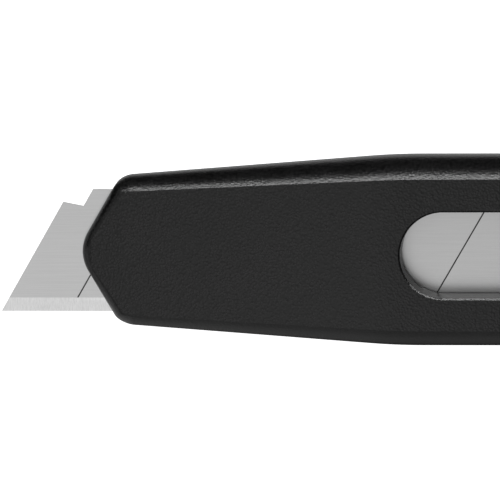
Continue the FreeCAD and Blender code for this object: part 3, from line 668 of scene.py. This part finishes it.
def slot_tool(bay_top):
    """Cutter for the slot: walls that lean out from the blade's bay, then a chamfer round the rim."""
    chamfer = form().slot_chamfer
    draft = form().slot_draft - chamfer
    front_draft = draft + SLOT_FRONT_LEAN
    rim_low = SHELL_HIGH.z - chamfer

    def plan(height, flare=0.0):
        share = (height - bay_top) / (rim_low - bay_top)
        wider = draft * share + flare
        return stadium_plan(along(SLOT_FRONT) - front_draft * share - flare, along(SLOT_BACK) + wider,
                            SLOT_HALF + wider)

    foot = bay_top - 0.5 * MM
    return lofted([(plan(foot), foot), (plan(rim_low), rim_low),
                   (plan(rim_low, 2.2 * chamfer), SHELL_HIGH.z + chamfer)], "slot")


def make_front_shell():
    end = SHELL_HIGH.x - NOSE_X
    shell = shell_blank(1, end)
    bay_half = CHANNEL_HIGH.y + 0.1 * MM
    bay_top = CHANNEL_HIGH.z + 0.06 * MM
    mouth_half = BLADE_HIGH.y + 0.15 * MM
    below = PARTING_Z - 1.0 * MM
    carve(shell, block((NOSE_X - 4 * MM, -mouth_half, below),
                       (CHANNEL_LOW.x + 0.1 * MM, mouth_half, BLADE_HIGH.z + 0.12 * MM)))
    carve(shell, block((CHANNEL_LOW.x - 0.1 * MM, -bay_half, below), (SHELL_HIGH.x + MM, bay_half, bay_top)))
    tunnel_half = 5.4 * MM
    carve(shell, block((along(14.0), -tunnel_half, bay_top - MM),
                       (along(SLOT_FRONT) + SLOT_HALF, tunnel_half, BLADE_HIGH.z + 1.8 * MM)))
    carve(shell, slot_tool(bay_top))
    return finish_piece(shell, "front_shell_moulding", "handle", "moulding", ["front_shell"],
                        form().edge_round)


def screw_places():
    """Middles of the six screws, from their own solids' box."""
    low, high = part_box("shell_screws")
    row = high.y - SCREW_HEAD
    stations_x = (low.x + SCREW_HEAD, (low.x + high.x) / 2, high.x - SCREW_HEAD)
    return [(x, side * row) for x in stations_x for side in (-1, 1)]


def make_rear_shell():
    end = REAR_HIGH.x - NOSE_X
    shell = shell_blank(-1, end)
    low, high = PARTING_Z - 0.2 * MM, PARTING_Z + 0.5 * MM
    half_plan = [(NOSE_X + x, y) for x, y in nose_outline(end)[1:]]
    plan = half_plan + [(x, -y) for x, y in reversed(half_plan)] + [(NOSE_X, 0.0)]
    tongue = prism(plan, low, high)
    mouth = block((NOSE_X - MM, BLADE_LOW.y, low - MM),
                  (CHANNEL_LOW.x - 0.2 * MM, BLADE_HIGH.y, high + MM))
    carve(tongue, mouth, "INTERSECT")
    carve(shell, tongue, "UNION")
    magazine_x = along(35.0)
    above = PARTING_Z + MM
    carve(shell, block((magazine_x, TRAY_LOW.y - 0.05 * MM, TRAY_LOW.z - 0.02 * MM),
                       (REAR_HIGH.x + MM, TRAY_HIGH.y + 0.05 * MM, above)))
    magazine_half = BLADE_HIGH.y + 0.2 * MM
    carve(shell, block((magazine_x + 0.5 * MM, -magazine_half, PARTING_Z - 4.3 * MM),
                       (REAR_HIGH.x + MM, magazine_half, above)))
    for x, y in screw_places():
        carve(shell, drum(x, y, SCREW_SEAT, REAR_LOW.z - MM, PARTING_Z - SCREW_DEPTH))
        carve(shell, drum(x, y, SCREW_BORE, REAR_LOW.z - MM, above, 24))
    return finish_piece(shell, "rear_shell_moulding", "handle", "moulding", ["rear_shell"],
                        form().edge_round)


# ---------------------------------------------------------------- the slider
CREST_Z = SADDLE_HIGH.z               # top of the saddle's two humps
SADDLE_Z = CREST_Z - 2.8 * MM         # underside of the saddle, over the face
SADDLE_LIP = 0.7 * MM                 # height of the saddle's ends
SADDLE_SLOPE = 5.5 * MM               # length of the slopes at its ends
SCREW_REACH = 11.2 * MM               # from the wheel's axis to each slide screw


def swept_profile(points, half, rounding, name, floor=None, steps=6):
    """Solid of one side view (x, z) from -half to +half across; its two long rims are rounded.

    Points at the floor's height stay there, so that the solid keeps a flat underside.
    """
    moves = []
    count = len(points)
    for i in range(count):
        before = (Vector(points[i]) - Vector(points[i - 1])).normalized()
        after = (Vector(points[(i + 1) % count]) - Vector(points[i])).normalized()
        first, second = Vector((-before.y, before.x)), Vector((-after.y, after.x))
        move = (first + second) / max(1.0 + first.dot(second), 0.3)
        if floor is not None and abs(points[i][1] - floor) < 1e-7:
            move.y = 0.0
        moves.append(move)
    rims = [(half - rounding + rounding * math.sin(math.radians(90.0 * k / steps)),
             rounding * (1.0 - math.cos(math.radians(90.0 * k / steps)))) for k in range(steps + 1)]
    places = [(-y, inset) for y, inset in reversed(rims)] + rims
    bm = bmesh.new()
    loops = []
    for y, inset in places:
        loops.append([bm.verts.new((x + move.x * inset, y, z + move.y * inset))
                      for (x, z), move in zip(points, moves)])
    return skinned_solid(bm, loops, name)


def make_saddle():
    front, back = SADDLE_LOW.x, SADDLE_HIGH.x
    side = rounded_plan([
        (front, SADDLE_Z, 0), (back, SADDLE_Z, 0), (back, SADDLE_Z + SADDLE_LIP, 0.65 * MM),
        (back - SADDLE_SLOPE, CREST_Z, 1.5 * MM), (front + SADDLE_SLOPE, CREST_Z, 1.5 * MM),
        (front, SADDLE_Z + SADDLE_LIP, 0.65 * MM),
    ], math.radians(4))
    saddle = swept_profile(side, SADDLE_HIGH.y, 0.5 * MM, "saddle", SADDLE_Z)
    stem_half = 5.5 * MM
    foot = prism(stadium_plan(front + 4.5 * MM, back - 4.5 * MM, stem_half), SADDLE_LOW.z,
                 SADDLE_Z + 0.2 * MM)
    carve(saddle, foot, "UNION")
    well_floor = WASHER_LOW.z
    carve(saddle, drum(WHEEL_X, 0.0, SADDLE_HIGH.y + 0.25 * MM, well_floor, CREST_Z + MM, 120))
    carve(saddle, drum(WHEEL_X, 0.0, 1.6 * MM, SADDLE_LOW.z - MM, CREST_Z))
    for side_sign in (-1, 1):
        x = WHEEL_X + side_sign * SCREW_REACH
        carve(saddle, drum(x, 0.0, MM, SADDLE_LOW.z - MM, CREST_Z + MM, 32))
        carve(saddle, drum(x, 0.0, 1.75 * MM, CREST_Z - 1.6 * MM, CREST_Z + MM, 40))
    return finish_piece(saddle, "thumb_saddle", "slider", "slide", ["thumb_slide"],
                        0.12 * MM)


def make_grip(facing):
    """Ribbed pad on one hump: facing is -1 ahead of the wheel and 1 behind it."""
    name = "front_grip_pad" if facing < 0 else "rear_grip_pad"
    low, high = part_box(name)
    inner, outer = (high.x, low.x) if facing < 0 else (low.x, high.x)
    knee = outer - 5.1 * MM * facing
    foot_z = SADDLE_Z + SADDLE_LIP + 0.153 * MM
    skin, rib_high, ribs = 0.35 * MM, high.z - CREST_Z - 0.35 * MM, 4
    run, fall = outer - knee, foot_z - CREST_Z
    gap = 0.02 * MM
    corners = [(inner, CREST_Z + gap, 0), (knee, CREST_Z + gap, 0), (outer, foot_z + gap, 0)]
    for rib in range(ribs):
        for along_rib, up, corner in ((0.02, skin, 0), (0.25, skin + rib_high, 0.16 * MM),
                                      (0.55, skin + rib_high, 0.16 * MM), (0.8, skin, 0.12 * MM)):
            share = 1.0 - (rib + along_rib) / ribs
            corners.append((knee + run * share, CREST_Z + fall * share + up, corner))
    corners.append((inner, CREST_Z + skin, 0.15 * MM))
    if facing < 0:
        corners.reverse()
    grip = swept_profile(rounded_plan(corners, math.radians(15)), high.y, 0.25 * MM, name, None, 4)
    return finish_piece(grip, name.replace("pad", "rubber"), "slider", "rubber", [name],
                        None, 40.0)


# ---------------------------------------------------------------- the lock wheel
def turned_loops(bm, x, y, profile, segments, radius_at=None):
    """Rings of vertices about a vertical axis, one for each (radius, height) of the profile."""
    loops = []
    for radius, height in profile:
        ring = []
        for k in range(segments):
            angle = 2.0 * math.pi * k / segments
            reach = radius_at(radius, angle) if radius_at else radius
            ring.append(bm.verts.new((x + reach * math.cos(angle), y + reach * math.sin(angle), height)))
        loops.append(ring)
    return loops


def lathe(x, y, profile, segments, name, radius_at=None):
    """Closed solid turned about a vertical axis; its profile runs from bottom to top."""
    bm = bmesh.new()
    return skinned_solid(bm, turned_loops(bm, x, y, profile, segments, radius_at), name)


def scalloped(radius, angle):
    """Radius of the wheel's rim at an angle: 24 round scallops, shallower where the rim is drawn in."""
    count, scallop, middle = 24, 0.85 * MM, WHEEL_HIGH.y + 0.35 * MM
    pitch = 2.0 * math.pi / count
    off = abs((angle + pitch / 2) % pitch - pitch / 2)
    offset = middle * math.sin(off)
    if offset >= scallop:
        return radius
    return min(radius, middle * math.cos(off) - math.sqrt(scallop ** 2 - offset ** 2))


def make_wheel():
    radius, low, high = WHEEL_HIGH.y, WHEEL_LOW.z, WHEEL_HIGH.z
    round_low, round_high, steps = 0.3 * MM, 0.55 * MM, 5
    profile = []
    for k in range(steps + 1):
        turn = math.radians(90.0 * k / steps)
        profile.append((radius - round_low * (1 - math.sin(turn)), low + round_low * (1 - math.cos(turn))))
    for k in range(steps + 1):
        turn = math.radians(90.0 * k / steps)
        profile.append((radius - round_high * (1 - math.cos(turn)),
                        high - round_high * (1 - math.sin(turn))))
    wheel = lathe(WHEEL_X, 0.0, profile, 24 * 18, "wheel", scalloped)
    groove_in, groove_out = 5.15 * MM, 5.85 * MM
    groove = drum(WHEEL_X, 0.0, groove_out, high - 0.35 * MM, high + MM, 96)
    carve(groove, drum(WHEEL_X, 0.0, groove_in, high - MM, high + 2 * MM, 96))
    carve(wheel, groove)
    carve(wheel, drum(WHEEL_X, 0.0, 4.55 * MM, high - 0.7 * MM, high + MM, 96))
    carve(wheel, drum(WHEEL_X, 0.0, 1.6 * MM, low - MM, high + MM, 32))
    corner = 2.78 * MM / math.cos(math.radians(30.0))
    seat = [(WHEEL_X + corner * math.cos(math.radians(60.0 * k)), corner * math.sin(math.radians(60.0 * k)))
            for k in range(6)]
    carve(wheel, prism(seat, low + 0.5 * MM, high + MM))
    return finish_piece(wheel, "knurled_wheel", "wheel", "slide", ["lock_wheel"], None, 40.0)


def make_wheel_button():
    low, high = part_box("wheel_cap")
    radius, edge, dish = high.y, 0.22 * MM, 0.16 * MM
    profile = [(radius, low.z), (radius, high.z - edge), (radius - 0.3 * edge, high.z - 0.3 * edge),
               (radius - edge, high.z)]
    for k in range(1, 9):
        share = k / 8
        profile.append((radius - edge - (radius - edge - 0.4 * MM) * share,
                        high.z - dish * smooth(share, 0.15, 0.9)))
    button = lathe(WHEEL_X, 0.0, profile, 96, "button")
    return finish_piece(button, "wheel_button", "wheel", "slide", ["wheel_cap"], None, 50.0)


# ---------------------------------------------------------------- the end cap
def make_tail_cap():
    sizes = form()
    middle_z = (CAP_LOW.z + CAP_HIGH.z) / 2
    start = along(147.05)
    corner, tail = 6.5 * MM, CAP_HIGH.x
    outline = rounded_plan([(start - MM, HALF_HIGH, 0), (start, HALF_HIGH, 0), (tail, HALF_HIGH, corner),
                            (tail, 0.0, 0)], math.radians(4))[1:]
    steps_down = [(tail, HALF_HIGH - corner - (HALF_HIGH - corner) * k / 4) for k in range(1, 4)]
    outline = outline[:-1] + steps_down + [outline[-1]]
    points = outline[::-1]
    normals = outward_normals(points, (1.0, 0.0), (0.0, 1.0))
    normals = [normals[0]] + [-normal for normal in normals[1:-1]] + [normals[-1]]
    profiles = []
    for normal in normals:
        share = smooth(normal.x, 0.0, 0.9)
        band = sizes.side_band + (1.6 * MM - sizes.side_band) * share
        wall = SIDE_WALL + 2.6 * MM * share
        upper = band_profile(band, HALF_THICK, wall)[1:]
        lower = [(inset, -height) for inset, height in reversed(upper)]
        profiles.append([(inset, middle_z + height) for inset, height in lower + upper])
    cap = banded_solid(points, normals, profiles, "cap")
    spigot_half = BLADE_HIGH.y
    carve(cap, block((along(139.0), -spigot_half, PARTING_Z - 4.1 * MM),
                     (along(147.5), spigot_half, PARTING_Z - 0.96 * MM)), "UNION")
    carve(cap, block((SNAPPER_LOW.x - 0.2 * MM, SNAPPER_LOW.y - 0.02 * MM, middle_z - 0.75 * MM),
                     (tail + MM, SNAPPER_HIGH.y + 0.02 * MM, middle_z + 0.75 * MM)))
    carve(cap, drum(EYELET_X, EYELET_Y, 2.72 * MM, CAP_LOW.z - MM, CAP_HIGH.z + MM, 64))
    seat = (EYELET_HIGH.x - EYELET_LOW.x) / 2 + 0.05 * MM
    carve(cap, drum(EYELET_X, EYELET_Y, seat, CAP_HIGH.z - 0.5 * MM, CAP_HIGH.z + MM, 64))
    carve(cap, drum(EYELET_X, EYELET_Y, seat, CAP_LOW.z - MM, CAP_LOW.z + 0.5 * MM, 64))
    groove_half, groove_long, groove_round, groove_deep = 0.36 * MM, 8.2 * MM, 0.34 * MM, 0.35 * MM
    for k in range(3):
        place = along(149.2 + 1.5 * k)
        corners = [(place + across * groove_half, end * groove_long, groove_round)
                   for across, end in ((-1, -1), (1, -1), (1, 1), (-1, 1))]
        plan = rounded_plan(corners, math.radians(15))
        carve(cap, prism(plan, CAP_HIGH.z - groove_deep, CAP_HIGH.z + MM))
        carve(cap, prism(plan, CAP_LOW.z - MM, CAP_LOW.z + groove_deep))
    return finish_piece(cap, "tail_cap", "cap", "moulding", ["end_cap"], sizes.edge_round)


def make_eyelet():
    """Rolled tubular eyelet: its two flanges curl into the bore."""
    bore, flange = 2.2 * MM, (EYELET_HIGH.x - EYELET_LOW.x) / 2
    thin, curl, steps = 0.48 * MM, 0.45 * MM, 6
    half = [(bore + curl * (1 - math.sin(math.radians(90.0 * k / steps))),
             EYELET_HIGH.z - curl * (1 - math.cos(math.radians(90.0 * k / steps))))
            for k in range(steps + 1)]
    outside = [(bore + 0.5 * MM, EYELET_HIGH.z - thin), (flange, EYELET_HIGH.z - thin),
               (flange, EYELET_HIGH.z - 0.12 * MM), (flange - 0.12 * MM, EYELET_HIGH.z)]
    upper = outside + half
    lower = [(radius, EYELET_LOW.z + EYELET_HIGH.z - height) for radius, height in reversed(upper)]
    bm = bmesh.new()
    loops = turned_loops(bm, EYELET_X, EYELET_Y, upper + lower, 64)
    skin(bm, loops + loops[:1])
    eyelet = scratch_object(bm, "eyelet")
    return finish_piece(eyelet, "rolled_eyelet", "cap", "zinc", ["lanyard_eyelet"], None, 40.0)


# ---------------------------------------------------------------- the operators
class CUTTER_OT_handle(bpy.types.Operator):
    """Model the two shells of the handle"""

    bl_idname = "cutter.handle"
    bl_label = "Handle Shells"

    def execute(self, context):
        make_front_shell()
        make_rear_shell()
        return {"FINISHED"}


class CUTTER_OT_saddle(bpy.types.Operator):
    """Model the saddle that the thumb pushes"""

    bl_idname = "cutter.saddle"
    bl_label = "Thumb Saddle"

    def execute(self, context):
        make_saddle()
        return {"FINISHED"}


class CUTTER_OT_grips(bpy.types.Operator):
    """Model the two ribbed rubber pads"""

    bl_idname = "cutter.grips"
    bl_label = "Grip Pads"

    def execute(self, context):
        make_grip(-1)
        make_grip(1)
        return {"FINISHED"}


class CUTTER_OT_wheel(bpy.types.Operator):
    """Model the scalloped lock wheel and its button"""

    bl_idname = "cutter.wheel"
    bl_label = "Lock Wheel"

    def execute(self, context):
        make_wheel()
        make_wheel_button()
        return {"FINISHED"}


class CUTTER_OT_tail(bpy.types.Operator):
    """Model the end cap and its lanyard eyelet"""

    bl_idname = "cutter.tail"
    bl_label = "End Cap"

    def execute(self, context):
        make_tail_cap()
        make_eyelet()
        return {"FINISHED"}


class CUTTER_OT_frame_finishes(bpy.types.Operator):
    """Give the frame's own metal and inner pieces their finishes"""

    bl_idname = "cutter.frame_finishes"
    bl_label = "Metal and Inner Pieces"

    def execute(self, context):
        for node, finish_name in {
            "snap_off_blade": "blade", "spare_blade_lower": "blade", "spare_blade_upper": "blade",
            "blade_channel": "channel", "shell_screws": "zinc", "slide_screws": "zinc",
            "blade_peg": "zinc", "spring_washer": "zinc", "lock_stud": "zinc", "clamp_plate": "zinc",
            "snapper_plate": "zinc", "magazine_spring": "zinc", "wheel_nut": "brass",
            "magazine_tray": "tray", "blade_carrier": "slide",
        }.items():
            dress_node(node, finish_name)
        return {"FINISHED"}


class CUTTER_OT_stage(bpy.types.Operator):
    """Build the pale floor, the soft studio lights and the camera"""

    bl_idname = "cutter.stage"
    bl_label = "Studio Stage"

    def execute(self, context):
        make_floor()
        make_lights()
        make_world()
        make_camera()
        return {"FINISHED"}


# ---------------------------------------------------------------- stage
def make_floor():
    bm = bmesh.new()
    bmesh.ops.create_grid(bm, x_segments=1, y_segments=1, size=3.0)
    floor = scratch_object(bm, "floor")
    floor.location.z = CAD_BOX[0].z - 0.02 * MM
    surface = bpy.data.materials.new("pale_floor")
    surface.use_nodes = True
    shader = surface.node_tree.nodes["Principled BSDF"]
    shader.inputs["Base Color"].default_value = (0.8, 0.8, 0.8, 1.0)
    shader.inputs["Roughness"].default_value = 0.9
    shader.inputs["Emission Color"].default_value = (1.0, 1.0, 1.0, 1.0)
    shader.inputs["Emission Strength"].default_value = 1.0
    floor.data.materials.append(surface)
    floor.visible_glossy = False
    floor.visible_diffuse = False


def soft_light(name, place, aim, size, size_y, power):
    data = bpy.data.lights.new(name, "AREA")
    data.shape = "RECTANGLE"
    data.size, data.size_y = size, size_y
    data.energy = power
    light = bpy.data.objects.new(name, data)
    bpy.context.scene.collection.objects.link(light)
    light.location = place
    light.rotation_mode = "QUATERNION"
    light.rotation_quaternion = (Vector(place) - Vector(aim)).to_track_quat("Z", "Y")


def make_lights():
    middle = Vector((along(30.0), 0.0, 0.0))
    soft_light("overhead", middle + Vector((-0.10, -0.32, 0.95)), middle, 0.5, 0.5, 0.51)
    soft_light("spine_strip", middle + Vector((0.2, 0.75, 0.23)), middle, 1.2, 0.1, 6.8)


def make_world():
    world = bpy.data.worlds.new("studio")
    bpy.context.scene.world = world
    world.use_nodes = True
    tree = world.node_tree
    graph = Graph(tree)
    direction = graph.node("ShaderNodeTexCoord", {}, {}, "Generated")
    sideways, upwards = direction.part(1), direction.part(2)
    overhead = upwards.ramp(-0.03, 0.03)
    spine_side = sideways.ramp(-0.1, 0.1)
    straight_down = (-1.0 * upwards).ramp(0.75, 0.95)
    under_spine = 0.015 + 0.5 * straight_down
    ahead = (-1.0 * direction.part(0)).ramp(0.0, 0.45)
    falling = (-1.0 * upwards).ramp(0.3, 1.0)
    under_edge = 0.34 * (1.0 - falling) * (1.0 - ahead) + 0.6 * ahead
    under = spine_side * under_spine + (1.0 - spine_side) * under_edge
    high_spine = sideways.ramp(0.12, 0.42) * upwards.ramp(0.5, 0.8)
    tail_side = direction.part(0).ramp(0.06, 0.26)
    tent = overhead * (0.44 + 0.85 * high_spine) * (1.0 - 0.75 * tail_side) + (1.0 - overhead) * under
    seen = graph.node("ShaderNodeLightPath", {}, {}, "Is Camera Ray")
    strength = seen + (1.0 - seen) * tent
    tree.links.new(strength.socket, tree.nodes["Background"].inputs["Strength"])
    tree.nodes["Background"].inputs["Color"].default_value = (1.0, 1.0, 1.0, 1.0)


def make_camera():
    """Long lens almost square to the face, from a little towards the spine and the tail."""
    aim = Vector((along(24.39), 0.03 * MM, (BLADE_LOW.z + BLADE_HIGH.z) / 2))
    back = Vector((math.tan(math.radians(3.3)), math.tan(math.radians(8.2)), 1.0)).normalized()
    right = (Vector((1.0, 0.0, 0.0)) - back * back.x).normalized()
    up = back.cross(right)
    distance = 0.6
    data = bpy.data.cameras.new("camera")
    data.sensor_width = 36.0
    data.lens = data.sensor_width * distance / (72.9 * MM)
    data.clip_start, data.clip_end = 0.01, 20.0
    camera = bpy.data.objects.new("camera", data)
    bpy.context.scene.collection.objects.link(camera)
    turn = Matrix((right, up, back)).transposed().to_4x4()
    camera.matrix_world = Matrix.Translation(aim + back * distance) @ turn
    bpy.context.scene.camera = camera
    bpy.context.scene.view_settings.view_transform = "Standard"


class CUTTER_PT_panel(bpy.types.Panel):
    """Sizes, finishes and steps of the cutter"""

    bl_idname = "CUTTER_PT_panel"
    bl_label = "Snap-off Cutter"
    bl_space_type = "VIEW_3D"
    bl_region_type = "UI"
    bl_category = "Cutter"

    def draw(self, context):
        for group in (context.scene.cutter_form, context.scene.cutter_finish):
            box = self.layout.box()
            for name in group.bl_rna.properties.keys():
                if name not in ("rna_type", "name"):
                    box.prop(group, name)
        for operator in STEPS:
            self.layout.operator(operator.bl_idname)


STEPS = (CUTTER_OT_stage, CUTTER_OT_frame_finishes, CUTTER_OT_handle, CUTTER_OT_saddle, CUTTER_OT_grips,
         CUTTER_OT_wheel, CUTTER_OT_tail)
CLASSES = (CutterForm, CutterFinish, *STEPS, CUTTER_PT_panel)


def register():
    for item in CLASSES:
        bpy.utils.register_class(item)
    bpy.types.Scene.cutter_form = PointerProperty(type=CutterForm)
    bpy.types.Scene.cutter_finish = PointerProperty(type=CutterFinish)


def unregister():
    del bpy.types.Scene.cutter_finish
    del bpy.types.Scene.cutter_form
    for item in reversed(CLASSES):
        bpy.utils.unregister_class(item)


def main():
    register()
    bpy.ops.cutter.stage()
    bpy.ops.cutter.frame_finishes()
    bpy.ops.cutter.handle()
    bpy.ops.cutter.saddle()
    bpy.ops.cutter.grips()
    bpy.ops.cutter.wheel()
    bpy.ops.cutter.tail()


if __name__ == "__main__":
    main()
